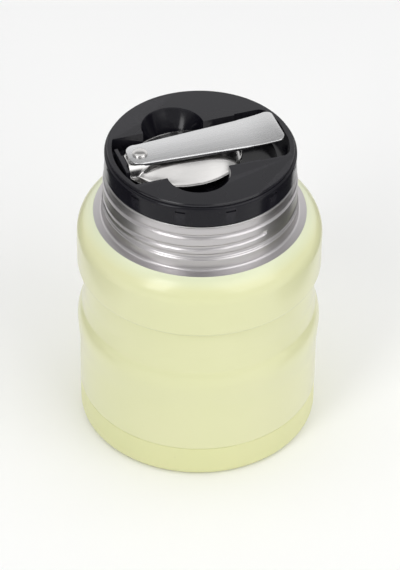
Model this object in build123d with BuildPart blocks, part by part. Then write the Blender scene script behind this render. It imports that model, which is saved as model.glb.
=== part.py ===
from build123d import *
import os
from math import acos, cos, degrees, radians, sin, sqrt, tan

# Insulated food jar, millimetres. +Z is up, the origin is the centre of the base ring.
# +X runs along the folding spoon, from its pivot towards the free end of its handle.

os.makedirs("parts", exist_ok=True)

# ---------------------------------------------------------------- base cup
SEAM_Z = 13.8  # top edge of the base cup
BASE_SIDE_IN = 0.1  # cup's side inside the painted wall above it
BASE_CORNER = 3.0
CORNER_STEPS = 3
RING_WIDTH = 6.0  # foot ring
RECESS_RISE = 0.8
BASE_FLOOR = 1.4
LEDGE_RISE = 2.0  # ledge under the steel foot, above the floor
LEDGE_WIDTH = 2.1

# ---------------------------------------------------------------- painted steel shell
BODY_R = 46.2  # straight wall above the seam
SHELL_WALL = 0.6
INSIDE_STEPS = 4  # straight steps in the rounded corners of hidden walls
FOOT_IN = 1.7  # steel foot inside the base cup
FOOT_GAP = 0.2
SEAM_GAP = 0.15
CUFF_H = 19.05  # straight wall below the bulge
BULGE_RISE = 12.0
BULGE_OUT = 0.75  # crest of the bulge beyond the wall below it
BULGE_FALL = 6.3
BULGE_DROP = 1.45
TAPER_H = 6.2  # straight taper down to the waist
WAIST_IN = 1.55
WAIST_H = 13.6
SHOULDER_OUT = 0.7
HEM_R = 1.8  # rolled lower edge of the shoulder band
HEM_STEPS = 2
SHOULDER_H = 13.1
DOME_RX = 12.7
DOME_RZ = 11.0

# ---------------------------------------------------------------- steel neck
MOUTH_R = 34.6  # inside of the drinking rim
LINER_WALL = 0.5
NECK_GAP = 0.45  # vacuum gap in the neck
NECK_WALL = 1.35
LAND_OUT = 0.4  # seat for the outer cup
LAND_H = 3.5
SHELF_W = 2.2  # bare steel between the land and the paint
SHELF_RISE = 0.4
ROOT_R = 1.1
LAND_STEP = 0.5
LOW_GROOVE_H = 2.2
LOW_GROOVE_DEPTH = 0.45
GROOVE_LAND = 0.3
BAND_H = 6.6  # plain band between the two ring grooves
TOP_GROOVE_H = 2.4
TOP_GROOVE_DEPTH = 0.75
COLLAR_IN = 0.5
COLLAR_H = 2.5
RIM_T = 0.55
WELD_GAP = 0.05

# ---------------------------------------------------------------- inner liner and vacuum space
SIDE_VACUUM = 2.95
BASE_VACUUM = 2.9
LINER_CORNER = 8.0
LINER_DOME_DROP = 2.5  # start of the liner's dome below the shell's
LINER_DOME_H = 11.0
FOIL_T = 0.2
FOIL_GAP = 0.1
FOIL_MARGIN = 1.0
PLATE_T = 0.6
PLATE_RISE = 0.6  # plate above the foot's lower edge
LIP_H = 0.6
HOLE_R = 1.0
SEAL_BEAD_R = 2.0
GETTER_R = 4.0
GETTER_T = 1.2
GETTER_X = 18.0
CLIP_W = 5.0
CLIP_T = 0.4
CLIP_FOOT = 3.0
PART_GAP = 0.1  # between loose inner pieces

# ---------------------------------------------------------------- stopper body
SKIRT_GAP = 0.2  # above the rim
SKIRT_IN = 0.2  # skirt inside the steel collar
SKIRT_WALL = 1.3
SKIRT_H = 8.4
SKIRT_ROUND = 0.9
WEB_T = 1.8
PLUG_H = 17.4
PLUG_CLEAR = 1.7
PLUG_WALL = 2.3
PLUG_FLOOR = 1.5
PLUG_FLANGE_IN = 1.0
PLUG_FLANGE_H = 2.3
PLUG_CHAMFER = 0.8
THROAT_CLEAR = 0.3
SEAL_GROOVE_H = 2.5
SEAL_GROOVE_DEPTH = 1.5
SEAL_OUT = 0.2  # seal beyond the plug
SEAL_EDGE = 0.6
SEAL_SIDE_GAP = 0.05
SEAT_GAP = 0.3
SEAT_ANGLE = 53.0
WINDOW_COUNT = 12
WINDOW_OFFSET = -1.0
WINDOW_W = 4.0
WINDOW_H = 0.9
WINDOW_RISE = 5.55  # underside of the windows above the skirt's edge

# ---------------------------------------------------------------- stopper top
DECK_GAP = 0.1
DECK_T = 1.1
DECK_CHAMFER = 0.3
RING_GAP = 0.2
RING_T = 1.1
RING_H = 3.7
HOOK_SIDE_GAP = 0.2
HOOK_RECESS = 0.5
RECESS_WALL = 1.3  # between the recess's round ends and the hanging ring's outside
RECESS_FLAT = 0.4  # how much its right-hand end is flattened
RECESS_STEP = 0.6  # its right-hand part is this much wider on each side
RECESS_STEP_IN = 14.9  # length of that wider part
RECESS_CORNER = 4.0
RECESS_DEPTH = 6.2
POCKET_WALL = 1.4
POCKET_DEPTH = 9.9
SCOOP_BACK = 0.5  # scoops behind the middle of the bowl
SCOOP_OUT = 0.5  # scoop centres outside the recess's side walls
SCOOP_R = 12.0
SCOOP_FLOOR_R = 5.5
TUB_WALL = 1.2
TUB_SHELF_GAP = 0.25  # above the stopper's web
TUB_FLOOR = 1.4
TONGUE_BACK = 1.8  # slot behind the tongue
TONGUE_T = 1.3
TONGUE_HALF_W = 7.5
TONGUE_RISE = 0.6  # above the deck
NUB_T = 0.6
NUB_HALF_W = 3.0
NUB_H = 1.3
FOAM_GAP = 0.3

# ---------------------------------------------------------------- folding spoon
SPOON_FLOOR_GAP = 0.3
SPOON_SIDE_GAP = 0.2
SPOON_END_GAP = 0.3  # between the neck plate and the tongue's nub
BOWL_AHEAD = 18.5  # middle of the bowl, ahead of the pivot
BOWL_HALF_L = 23.0
BOWL_HALF_W = 14.2
BOWL_DEPTH = 7.2
BOWL_T = 0.8
NECK_RISE = 3.0  # top of the neck plate above the rim
NECK_T = 0.9
NECK_TIP_HALF_W = 5.5
NECK_TAPER = 2.4
NECK_HALF_W = 11.4
RAMP_AHEAD = 3.7  # bend between the neck plate and the ramp, ahead of the pivot
RAMP_ANGLE = 47.0
PIVOT_IN = 5.4  # pivot ahead of the neck plate's end
BOSS_R = 4.5
BOSS_H = 0.85
STOP_BACK = 3.8  # small folded stop behind the pivot
STOP_SIDE = 5.6
STOP_L = 1.6
STOP_W = 1.4
STOP_H = 0.6
RIVET_R = 2.0
RIVET_HEAD_R = 2.8
RIVET_HEAD_H = 1.25
RIVET_TAIL_H = 0.9
RIVET_CLEAR = 0.05
HANDLE_T = 0.8
HANDLE_HALF_W = 7.75
HANDLE_LEFT = 4.6  # behind the pivot
HANDLE_END_GAP = 2.3  # between its free end and the recess's end wall
HANDLE_FLANGE_H = 0.7
FLANGE_LEFT = 0.5  # flange starts this far behind the pivot
TAB_L = 12.7  # free end, bent up and without a flange
HANDLE_LIFT = 1.1  # how far the free end is bent up
HANDLE_LEFT_CORNER = 3.5
HANDLE_RIGHT_CORNER = 3.0

# ---------------------------------------------------------------- levels and radii that follow
foot_r = BODY_R - FOOT_IN
foot_z = BASE_FLOOR + RECESS_RISE + LEDGE_RISE + FOOT_GAP
waist_r = BODY_R - WAIST_IN
shoulder_r = BODY_R + SHOULDER_OUT
dome_centre_r = shoulder_r - DOME_RX
neck_in_r = MOUTH_R + LINER_WALL + NECK_GAP
band_r = neck_in_r + NECK_WALL
land_r = band_r + LAND_OUT
collar_r = band_r - COLLAR_IN
paint_r = land_r + ROOT_R + SHELF_W

cuff_z = SEAM_Z + SEAM_GAP
bulge_start_z = cuff_z + CUFF_H
bulge_z = bulge_start_z + BULGE_RISE
taper_z = bulge_z + BULGE_FALL
waist_z = taper_z + TAPER_H
undercut_z = waist_z + WAIST_H
dome_z = undercut_z + HEM_R + SHOULDER_H
dome_sweep = degrees(acos((paint_r - dome_centre_r) / DOME_RX))
shelf_z = dome_z + DOME_RZ * sin(radians(dome_sweep)) + SHELF_RISE
land_z = shelf_z + ROOT_R
low_groove_z = land_z + LAND_H + LAND_STEP + GROOVE_LAND
band_z = low_groove_z + LOW_GROOVE_H
top_groove_z = band_z + BAND_H
collar_z = top_groove_z + TOP_GROOVE_H
neck_top_z = collar_z + COLLAR_H
rim_z = neck_top_z + WELD_GAP + RIM_T

skirt_r = collar_r - SKIRT_IN
skirt_z = rim_z + SKIRT_GAP
skirt_in_r = skirt_r - SKIRT_WALL
skirt_top_z = skirt_z + SKIRT_H
plug_r = MOUTH_R - PLUG_CLEAR
plug_in_r = plug_r - PLUG_WALL
plug_z = skirt_z - PLUG_H
flange_r = plug_r - PLUG_FLANGE_IN
groove_z = plug_z + PLUG_FLANGE_H
groove_top_z = groove_z + SEAL_GROOVE_H
groove_r = plug_r - SEAL_GROOVE_DEPTH
seal_r = plug_r + SEAL_OUT
throat_r = flange_r + THROAT_CLEAR

liner_r = waist_r - SHELL_WALL - SIDE_VACUUM - LINER_WALL
plate_z = foot_z + PLATE_RISE
liner_floor_z = plate_z + PLATE_T + BASE_VACUUM + LINER_WALL
liner_dome_z = dome_z - LINER_DOME_DROP

deck_z = skirt_top_z + DECK_GAP
deck_top_z = deck_z + DECK_T
deck_r = skirt_r - SKIRT_ROUND
ring_r = skirt_in_r - RING_GAP
tub_r = plug_in_r - FOAM_GAP
recess_r = ring_r - RECESS_WALL
recess_x1 = recess_r - RECESS_FLAT
recess_step_x = recess_r - RECESS_STEP_IN
recess_half_w = BOWL_HALF_W + SPOON_SIDE_GAP
pocket_r = tub_r - POCKET_WALL
recess_z = deck_top_z - RECESS_DEPTH
pocket_z = deck_top_z - POCKET_DEPTH
window_z = skirt_z + WINDOW_RISE

tongue_x = TONGUE_BACK - recess_r
neck_tip_x = tongue_x + TONGUE_T + NUB_T + SPOON_END_GAP
pivot_x = neck_tip_x + PIVOT_IN
ramp_x = pivot_x + RAMP_AHEAD
bowl_x = pivot_x + BOWL_AHEAD
scoop_x = bowl_x - SCOOP_BACK
scoop_y = recess_half_w + SCOOP_OUT
stop_x = pivot_x - STOP_BACK
spoon_z = pocket_z + SPOON_FLOOR_GAP
bowl_rim_z = spoon_z + BOWL_DEPTH
neck_plate_z = bowl_rim_z + NECK_RISE
web_under_z = neck_plate_z + BOSS_H + RIVET_CLEAR
web_top_z = web_under_z + HANDLE_T


def stepped_arc(centre, radius_x, radius_z, start, sweep, steps):
    """Arc drawn as a few straight steps between points that lie on it."""
    points = []
    for i in range(steps + 1):
        angle = radians(start + sweep * i / steps)
        points.append((centre[0] + radius_x * cos(angle), centre[1] + radius_z * sin(angle)))
    return Polyline(*points)


def shell_side(inset):
    """Side of the shell from the foot to the end of the paint on the dome, moved inwards by inset."""
    foot = Line((foot_r - inset, foot_z), (foot_r - inset, cuff_z + inset))
    step = Line(foot @ 1, (BODY_R - inset, cuff_z + inset))
    cuff = Line(step @ 1, (BODY_R - inset, bulge_start_z))
    half_way = (BODY_R + BULGE_OUT / 2 - inset, bulge_start_z + BULGE_RISE / 2)
    crest = (BODY_R + BULGE_OUT - inset, bulge_z)
    fall_end = (BODY_R + BULGE_OUT - BULGE_DROP - inset, taper_z)
    if inset == 0:
        swell = TangentArc(cuff @ 1, half_way, tangent=(0, 1))
        TangentArc(half_way, crest, tangent=swell % 1)
        fall = TangentArc(crest, fall_end, tangent=(0, 1))
    else:
        fall = Polyline(cuff @ 1, half_way, crest, fall_end)
    taper = Line(fall @ 1, (waist_r - inset, waist_z))
    waist = Line(taper @ 1, (waist_r - inset, undercut_z + inset))
    underside = Line(waist @ 1, (shoulder_r - HEM_R, undercut_z + inset))
    hem_centre = (shoulder_r - HEM_R, undercut_z + HEM_R)
    hem = stepped_arc(hem_centre, HEM_R - inset, HEM_R - inset, 270, 90, HEM_STEPS)
    band = Line(hem @ 1, (shoulder_r - inset, dome_z))
    dome_centre = (dome_centre_r, dome_z)
    if inset == 0:
        return EllipticalCenterArc(dome_centre, DOME_RX, DOME_RZ, 0, arc_size=dome_sweep)
    return stepped_arc(dome_centre, DOME_RX - inset, DOME_RZ - inset, 0, dome_sweep, INSIDE_STEPS)


def seat_z(radius, outset):
    """Height of the liner's sealing cone at a radius; outset moves it outwards, normal to itself."""
    touch_r = seal_r + SEAT_GAP * sin(radians(SEAT_ANGLE))
    touch_z = groove_z + SEAL_SIDE_GAP + SEAL_EDGE - SEAT_GAP * cos(radians(SEAT_ANGLE))
    return touch_z + (radius - touch_r) * tan(radians(SEAT_ANGLE)) - outset / cos(radians(SEAT_ANGLE))


def liner_side(outset, top_z):
    """Liner from the centre of its floor to its mouth, moved outwards by outset."""
    floor_end = (liner_r - LINER_CORNER, liner_floor_z - outset)
    floor = Line((0, liner_floor_z - outset), floor_end)
    corner_centre = (liner_r - LINER_CORNER, liner_floor_z + LINER_CORNER)
    corner_r = LINER_CORNER + outset
    corner = stepped_arc(corner_centre, corner_r, corner_r, 270, 90, INSIDE_STEPS)
    wall = Line(corner @ 1, (liner_r + outset, liner_dome_z))
    dome_width = liner_r - throat_r
    dome_sweep_in = degrees(acos(outset / (dome_width + outset)))
    dome_centre = (throat_r, liner_dome_z)
    dome = stepped_arc(
        dome_centre, dome_width + outset, LINER_DOME_H + outset, 0, dome_sweep_in, INSIDE_STEPS
    )
    throat = Line(dome @ 1, (throat_r + outset, seat_z(throat_r + outset, outset)))
    cone = Line(throat @ 1, (MOUTH_R + outset, seat_z(MOUTH_R + outset, outset)))
    return Line(cone @ 1, (MOUTH_R + outset, top_z))


# ================================================================ jar
# Outer shell: foot, bulged body, waist, rolled shoulder, dome, and the bare steel neck.
with BuildPart() as outer_shell:
    with BuildSketch(Plane.XZ):
        with BuildLine():
            outside = shell_side(0)
            shelf = Line(outside @ 1, (land_r + ROOT_R, shelf_z))
            root_centre = (land_r + ROOT_R, land_z)
            root = stepped_arc(root_centre, ROOT_R, ROOT_R, 270, -90, HEM_STEPS)
            land = Line(root @ 1, (land_r, land_z + LAND_H))
            step = Line(land @ 1, (band_r, land_z + LAND_H + LAND_STEP))
            lip = Line(step @ 1, (band_r, low_groove_z))
            low_mid = (band_r - LOW_GROOVE_DEPTH, low_groove_z + LOW_GROOVE_H / 2)
            low_groove = Polyline(lip @ 1, low_mid, (band_r, band_z))
            band = Line(low_groove @ 1, (band_r, top_groove_z))
            top_mid = (band_r - TOP_GROOVE_DEPTH, top_groove_z + TOP_GROOVE_H / 2)
            top_groove = Polyline(band @ 1, top_mid, (collar_r, collar_z))
            collar = Line(top_groove @ 1, (collar_r, neck_top_z))
            neck_edge = Line(collar @ 1, (neck_in_r, neck_top_z))
            inside = shell_side(SHELL_WALL)
            neck_inside = Polyline(neck_edge @ 1, (neck_in_r, shelf_z - SHELL_WALL), inside @ 1)
            foot_edge = Line((foot_r, foot_z), (foot_r - SHELL_WALL, foot_z))
        make_face()
    revolve(axis=Axis.Z)
outer_shell.part.label = "outer_shell"
export_step(outer_shell.part, "parts/outer_shell.step")

# Inner liner: food space, throat with the sealing cone, mouth and drinking rim.
with BuildPart() as inner_liner:
    with BuildSketch(Plane.XZ):
        with BuildLine():
            inside = liner_side(0, rim_z)
            outside = liner_side(LINER_WALL, rim_z - RIM_T)
            rim_under = Line(outside @ 1, (collar_r, rim_z - RIM_T))
            rim_edge = Line(rim_under @ 1, (collar_r, rim_z))
            rim_top = Line(rim_edge @ 1, inside @ 1)
            axis_line = Line((0, liner_floor_z), (0, liner_floor_z - LINER_WALL))
        make_face()
    revolve(axis=Axis.Z)
inner_liner.part.label = "inner_liner"
export_step(inner_liner.part, "parts/inner_liner.step")

# Steel bottom plate with a down-turned lip and the evacuation hole.
plate_r = foot_r - SHELL_WALL - WELD_GAP
with BuildPart() as outer_bottom:
    with BuildSketch(Plane.XY.offset(plate_z)):
        Circle(plate_r)
        Circle(HOLE_R, mode=Mode.SUBTRACT)
    extrude(amount=PLATE_T)
    with BuildSketch(Plane.XY.offset(plate_z - LIP_H)):
        Circle(plate_r)
        Circle(plate_r - PLATE_T, mode=Mode.SUBTRACT)
    extrude(amount=LIP_H)
outer_bottom.part.label = "outer_bottom"
export_step(outer_bottom.part, "parts/outer_bottom.step")

# Sealing bead that closes the evacuation hole from below.
with BuildPart() as vacuum_seal:
    with BuildSketch(Plane.XZ):
        with BuildLine():
            bead = stepped_arc((0, plate_z), SEAL_BEAD_R, SEAL_BEAD_R, -90, 90, INSIDE_STEPS)
            Polyline(bead @ 1, (0, plate_z), bead @ 0)
        make_face()
    revolve(axis=Axis.Z)
vacuum_seal.part.label = "vacuum_seal"
export_step(vacuum_seal.part, "parts/vacuum_seal.step")

# Getter pellet and the sheet clip that holds it on the bottom plate.
getter_z = plate_z + PLATE_T + PART_GAP
with BuildPart() as getter:
    with BuildSketch(Plane.XY.offset(getter_z)):
        with Locations((GETTER_X, 0)):
            Circle(GETTER_R)
    extrude(amount=GETTER_T)
getter.part.label = "getter"
export_step(getter.part, "parts/getter.step")

clip_in = GETTER_R + PART_GAP
clip_foot_z = plate_z + PLATE_T
clip_top_z = getter_z + GETTER_T + PART_GAP
with BuildPart() as getter_clip:
    with BuildSketch(Plane.XZ):
        with BuildLine():
            Polyline(
                (GETTER_X - clip_in - CLIP_FOOT, clip_foot_z),
                (GETTER_X - clip_in, clip_foot_z),
                (GETTER_X - clip_in, clip_top_z),
                (GETTER_X + clip_in, clip_top_z),
                (GETTER_X + clip_in, clip_foot_z),
                (GETTER_X + clip_in + CLIP_FOOT, clip_foot_z),
                (GETTER_X + clip_in + CLIP_FOOT, clip_foot_z + CLIP_T),
                (GETTER_X + clip_in + CLIP_T, clip_foot_z + CLIP_T),
                (GETTER_X + clip_in + CLIP_T, clip_top_z + CLIP_T),
                (GETTER_X - clip_in - CLIP_T, clip_top_z + CLIP_T),
                (GETTER_X - clip_in - CLIP_T, clip_foot_z + CLIP_T),
                (GETTER_X - clip_in - CLIP_FOOT, clip_foot_z + CLIP_T),
                close=True,
            )
        make_face()
    extrude(amount=CLIP_W / 2, both=True)
getter_clip.part.label = "getter_clip"
export_step(getter_clip.part, "parts/getter_clip.step")

# Copper radiation foil wrapped round the straight part of the liner.
foil_r = liner_r + LINER_WALL + FOIL_GAP
foil_z = liner_floor_z + LINER_CORNER + FOIL_MARGIN
with BuildPart() as radiation_foil:
    with BuildSketch(Plane.XY.offset(foil_z)):
        Circle(foil_r + FOIL_T)
        Circle(foil_r, mode=Mode.SUBTRACT)
    extrude(amount=liner_dome_z - FOIL_MARGIN - foil_z)
radiation_foil.part.label = "radiation_foil"
export_step(radiation_foil.part, "parts/radiation_foil.step")

# Base cup: moulded, with a foot ring, a recessed underside and a ledge under the steel foot.
base_r = BODY_R - BASE_SIDE_IN
base_in_r = foot_r + FOOT_GAP
ring_outer_r = base_r - BASE_CORNER
ring_inner_r = ring_outer_r - RING_WIDTH
base_floor_z = RECESS_RISE + BASE_FLOOR
ledge_z = base_floor_z + LEDGE_RISE
ledge_in_r = base_in_r - LEDGE_WIDTH
with BuildPart() as base_cup:
    with BuildSketch(Plane.XZ):
        with BuildLine():
            Polyline(
                (0, base_floor_z),
                (ledge_in_r, base_floor_z),
                (ledge_in_r, ledge_z),
                (base_in_r, ledge_z),
                (base_in_r, SEAM_Z),
                (base_r, SEAM_Z),
                (base_r, BASE_CORNER),
            )
            stepped_arc((ring_outer_r, BASE_CORNER), BASE_CORNER, BASE_CORNER, 0, -90, CORNER_STEPS)
            Polyline(
                (ring_outer_r, 0),
                (ring_inner_r, 0),
                (ring_inner_r - RECESS_RISE, RECESS_RISE),
                (0, RECESS_RISE),
                (0, base_floor_z),
            )
        make_face()
    revolve(axis=Axis.Z)
base_cup.part.label = "base_cup"
export_step(base_cup.part, "parts/base_cup.step")

# ================================================================ stopper
# Stopper body: skirt, web, plug, seal groove and a ring of snap windows.
with BuildPart() as stopper_body:
    with BuildSketch(Plane.XZ):
        with BuildLine():
            Polyline(
                (0, plug_z),
                (flange_r - PLUG_CHAMFER, plug_z),
                (flange_r, plug_z + PLUG_CHAMFER),
                (flange_r, groove_z),
                (groove_r, groove_z),
                (groove_r, groove_top_z),
                (plug_r, groove_top_z),
                (plug_r, skirt_z),
                (skirt_r, skirt_z),
                (skirt_r, skirt_top_z - SKIRT_ROUND),
            )
            round_centre = (skirt_r - SKIRT_ROUND, skirt_top_z - SKIRT_ROUND)
            stepped_arc(round_centre, SKIRT_ROUND, SKIRT_ROUND, 0, 90, CORNER_STEPS)
            Polyline(
                (skirt_r - SKIRT_ROUND, skirt_top_z),
                (skirt_in_r, skirt_top_z),
                (skirt_in_r, skirt_z + WEB_T),
                (plug_in_r, skirt_z + WEB_T),
                (plug_in_r, plug_z + PLUG_FLOOR),
                (0, plug_z + PLUG_FLOOR),
                (0, plug_z),
            )
        make_face()
    revolve(axis=Axis.Z)
    with BuildSketch(Plane.XY.offset(window_z)):
        with PolarLocations((skirt_r + skirt_in_r) / 2, WINDOW_COUNT, start_angle=WINDOW_OFFSET):
            Rectangle(SKIRT_WALL * 2, WINDOW_W)
    extrude(amount=WINDOW_H, mode=Mode.SUBTRACT)
stopper_body.part.label = "stopper_body"
export_step(stopper_body.part, "parts/stopper_body.step")

# Plan outlines of the spoon recess, drawn once and used for the tub and for the cut.
with BuildSketch() as recess_plan:
    Circle(recess_r)
    with BuildSketch(mode=Mode.INTERSECT) as recess_band:
        with Locations((-recess_r, 0)):
            Rectangle(recess_r + recess_step_x, 2 * recess_half_w, align=(Align.MIN, Align.CENTER))
        with Locations((recess_step_x, 0)):
            Rectangle(
                recess_x1 - recess_step_x, 2 * (recess_half_w + RECESS_STEP), align=(Align.MIN, Align.CENTER)
            )
    fillet(recess_plan.vertices().filter_by(lambda v: v.X > recess_step_x + 1), RECESS_CORNER)

with BuildSketch() as pocket_plan:
    Circle(pocket_r)
    with BuildSketch(mode=Mode.INTERSECT) as pocket_band:
        Rectangle(2 * pocket_r, 2 * recess_half_w)

# Stopper top: deck, hanging ring with hooks, and the tub that the spoon lies in.
tub_shelf_z = skirt_z + WEB_T + TUB_SHELF_GAP
tub_z = pocket_z - TUB_FLOOR
with BuildPart() as stopper_top:
    with BuildSketch(Plane.XY.offset(deck_z)):
        Circle(deck_r)
    extrude(amount=DECK_T)
    chamfer(stopper_top.edges().group_by(Axis.Z)[-1], DECK_CHAMFER)
    with BuildSketch(Plane.XY.offset(deck_z - RING_H)):
        Circle(ring_r)
        Circle(ring_r - RING_T, mode=Mode.SUBTRACT)
    extrude(amount=RING_H)
    with BuildSketch(Plane.XY.offset(window_z + HOOK_SIDE_GAP / 2)):
        with PolarLocations(ring_r - RING_T / 2, WINDOW_COUNT, start_angle=WINDOW_OFFSET):
            Rectangle(
                skirt_r - HOOK_RECESS - ring_r + RING_T / 2,
                WINDOW_W - 2 * HOOK_SIDE_GAP,
                align=(Align.MIN, Align.CENTER),
            )
    extrude(amount=WINDOW_H - HOOK_SIDE_GAP)
    # walls and floor of the tub
    with BuildSketch(Plane.XY.offset(tub_shelf_z)):
        add(recess_plan.sketch)
        offset(amount=TUB_WALL)
        Circle(ring_r, mode=Mode.INTERSECT)
    extrude(amount=deck_z - tub_shelf_z)
    with BuildSketch(Plane.XY.offset(tub_z)):
        add(pocket_plan.sketch)
        offset(amount=TUB_WALL)
        with Locations((scoop_x, scoop_y), (scoop_x, -scoop_y)):
            Circle(SCOOP_R + TUB_WALL)
        Circle(tub_r, mode=Mode.INTERSECT)
    extrude(amount=tub_shelf_z - tub_z)
    with BuildSketch(Plane.XY.offset(tub_shelf_z)):
        with Locations((scoop_x, scoop_y), (scoop_x, -scoop_y)):
            Circle(SCOOP_R + TUB_WALL)
    extrude(amount=deck_z - tub_shelf_z)
    # the recess itself: shallow ends, a deeper pocket under the bowl
    with BuildSketch(Plane.XY.offset(recess_z)):
        add(recess_plan.sketch)
    extrude(amount=RECESS_DEPTH, mode=Mode.SUBTRACT)
    with BuildSketch(Plane.XY.offset(pocket_z)):
        add(pocket_plan.sketch)
    extrude(amount=POCKET_DEPTH, mode=Mode.SUBTRACT)
    # dished finger scoops on both sides of the bowl
    scoop_corner = SCOOP_R - SCOOP_FLOOR_R
    for side in (-1, 1):
        with BuildSketch(Plane.XZ.offset(-side * scoop_y)):
            with BuildLine():
                Polyline(
                    (scoop_x, deck_top_z),
                    (scoop_x, pocket_z),
                    (scoop_x + SCOOP_FLOOR_R, pocket_z),
                )
                CenterArc((scoop_x + SCOOP_FLOOR_R, pocket_z + scoop_corner), scoop_corner, 270, 90)
                Polyline(
                    (scoop_x + SCOOP_R, pocket_z + scoop_corner),
                    (scoop_x + SCOOP_R, deck_top_z),
                    (scoop_x, deck_top_z),
                )
            make_face()
        revolve(axis=Axis((scoop_x, side * scoop_y, 0), (0, 0, 1)), mode=Mode.SUBTRACT)
    # springy tongue behind the spoon's neck, with its nub
    with BuildSketch(Plane.XY.offset(recess_z - PART_GAP)):
        with Locations((tongue_x, 0)):
            Rectangle(TONGUE_T, 2 * TONGUE_HALF_W, align=(Align.MIN, Align.CENTER))
    extrude(amount=RECESS_DEPTH + TONGUE_RISE + PART_GAP)
    with BuildSketch(Plane.XY.offset(deck_top_z + TONGUE_RISE - NUB_H)):
        with Locations((tongue_x + TONGUE_T, 0)):
            Rectangle(NUB_T, 2 * NUB_HALF_W, align=(Align.MIN, Align.CENTER))
    extrude(amount=NUB_H)
stopper_top.part.label = "stopper_top"
export_step(stopper_top.part, "parts/stopper_top.step")

# Foam block that insulates the plug.
with BuildPart() as stopper_foam:
    foam_z = plug_z + PLUG_FLOOR + PART_GAP
    with BuildSketch(Plane.XY.offset(foam_z)):
        Circle(plug_in_r - FOAM_GAP)
    extrude(amount=tub_z - FOAM_GAP - foam_z)
stopper_foam.part.label = "stopper_foam"
export_step(stopper_foam.part, "parts/stopper_foam.step")

# Silicone sealing ring in the plug's groove.
with BuildPart() as stopper_seal:
    with BuildSketch(Plane.XZ) as seal_section:
        with Locations((groove_r + SEAL_SIDE_GAP, groove_z + SEAL_SIDE_GAP)):
            Rectangle(
                seal_r - groove_r - SEAL_SIDE_GAP,
                SEAL_GROOVE_H - 2 * SEAL_SIDE_GAP,
                align=(Align.MIN, Align.MIN),
            )
        chamfer(seal_section.vertices().group_by(Axis.X)[-1], SEAL_EDGE)
    revolve(axis=Axis.Z)
stopper_seal.part.label = "stopper_seal"
export_step(stopper_seal.part, "parts/stopper_seal.step")

# ================================================================ folding spoon
# The bowl is a shallow scoop, round both along and across, whose end towards the pivot is a ramp.
bowl_cross_r = (BOWL_HALF_W**2 + BOWL_DEPTH**2) / (2 * BOWL_DEPTH)
bowl_long_r = (BOWL_HALF_L**2 + BOWL_DEPTH**2) / (2 * BOWL_DEPTH)
bowl_axis = Axis((0, 0, spoon_z + bowl_cross_r), (1, 0, 0))
ramp_normal = Vector(sin(radians(RAMP_ANGLE)), 0, cos(radians(RAMP_ANGLE)))
ramp_top = Plane((ramp_x, 0, neck_plate_z), x_dir=(0, 1, 0), z_dir=ramp_normal)
ramp_under = Plane(ramp_top.origin - ramp_normal * NECK_T, x_dir=(0, 1, 0), z_dir=ramp_normal)
ramp_foot_x = ramp_x + NECK_RISE / tan(radians(RAMP_ANGLE))
ramp_back_x = ramp_foot_x - NECK_T / sin(radians(RAMP_ANGLE))
neck_bend_x = ramp_x - NECK_T * tan(radians(RAMP_ANGLE / 2))


def bowl_section(inset):
    """Lengthwise section of the bowl, from its curved bottom up to its axis of revolution."""
    arc_r = bowl_long_r - inset
    arc_z = spoon_z + bowl_long_r
    top_z = bowl_rim_z + NECK_RISE
    half = sqrt(arc_r**2 - (arc_z - top_z) ** 2)
    left = (bowl_x - half, top_z)
    right = (bowl_x + half, top_z)
    ThreePointArc(left, (bowl_x, arc_z - arc_r), right)
    axis_z = spoon_z + bowl_cross_r
    return Polyline(right, (bowl_x + half, axis_z), (bowl_x - half, axis_z), left)


def bowl_half_width(x):
    """Half the rim's width at a place along the bowl."""
    drop = bowl_long_r - sqrt(bowl_long_r**2 - (x - bowl_x) ** 2)
    return sqrt((bowl_cross_r - drop) ** 2 - (bowl_cross_r - BOWL_DEPTH) ** 2)


with BuildPart() as bowl_hollow:
    with BuildSketch(Plane.XZ):
        with BuildLine():
            bowl_section(BOWL_T)
        make_face()
    revolve(axis=bowl_axis)
    split(bisect_by=ramp_top, keep=Keep.TOP)

with BuildPart() as spoon_neck:
    with BuildSketch(Plane.XZ):
        with BuildLine():
            Polyline(
                (neck_tip_x, neck_plate_z - NECK_T),
                (neck_bend_x, neck_plate_z - NECK_T),
                (ramp_back_x, bowl_rim_z),
                (ramp_foot_x, bowl_rim_z),
                (ramp_x, neck_plate_z),
                (neck_tip_x, neck_plate_z),
                close=True,
            )
        make_face()
    extrude(amount=BOWL_HALF_W, both=True)
    with BuildSketch(Plane.XY.offset(bowl_rim_z)):
        with BuildLine():
            foot_half_w = bowl_half_width(ramp_foot_x)
            Polyline(
                (ramp_foot_x, -foot_half_w),
                (neck_tip_x + NECK_TAPER, -NECK_HALF_W),
                (neck_tip_x, -NECK_TIP_HALF_W),
                (neck_tip_x, NECK_TIP_HALF_W),
                (neck_tip_x + NECK_TAPER, NECK_HALF_W),
                (ramp_foot_x, foot_half_w),
                close=True,
            )
        make_face()
    extrude(amount=NECK_RISE, mode=Mode.INTERSECT)

bore_r = RIVET_R + RIVET_CLEAR
with BuildPart() as spoon_bowl:
    with BuildSketch(Plane.XZ):
        with BuildLine():
            bowl_section(0)
        make_face()
    revolve(axis=bowl_axis)
    split(bisect_by=Plane.XY.offset(bowl_rim_z), keep=Keep.BOTTOM)
    split(bisect_by=ramp_under, keep=Keep.TOP)
    add(bowl_hollow.part, mode=Mode.SUBTRACT)
    add(spoon_neck.part)
    with BuildSketch(Plane.XY.offset(neck_plate_z)):
        with Locations((pivot_x, 0)):
            Circle(BOSS_R)
    extrude(amount=BOSS_H)
    with BuildSketch(Plane.XY.offset(neck_plate_z)):
        with Locations((stop_x, -STOP_SIDE)):
            Rectangle(STOP_L, STOP_W, align=(Align.MIN, Align.MIN))
    extrude(amount=STOP_H)
    with Locations((pivot_x, 0, neck_plate_z)):
        Hole(bore_r)
spoon_bowl.part.label = "spoon_bowl"
export_step(spoon_bowl.part, "parts/spoon_bowl.step")

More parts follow.
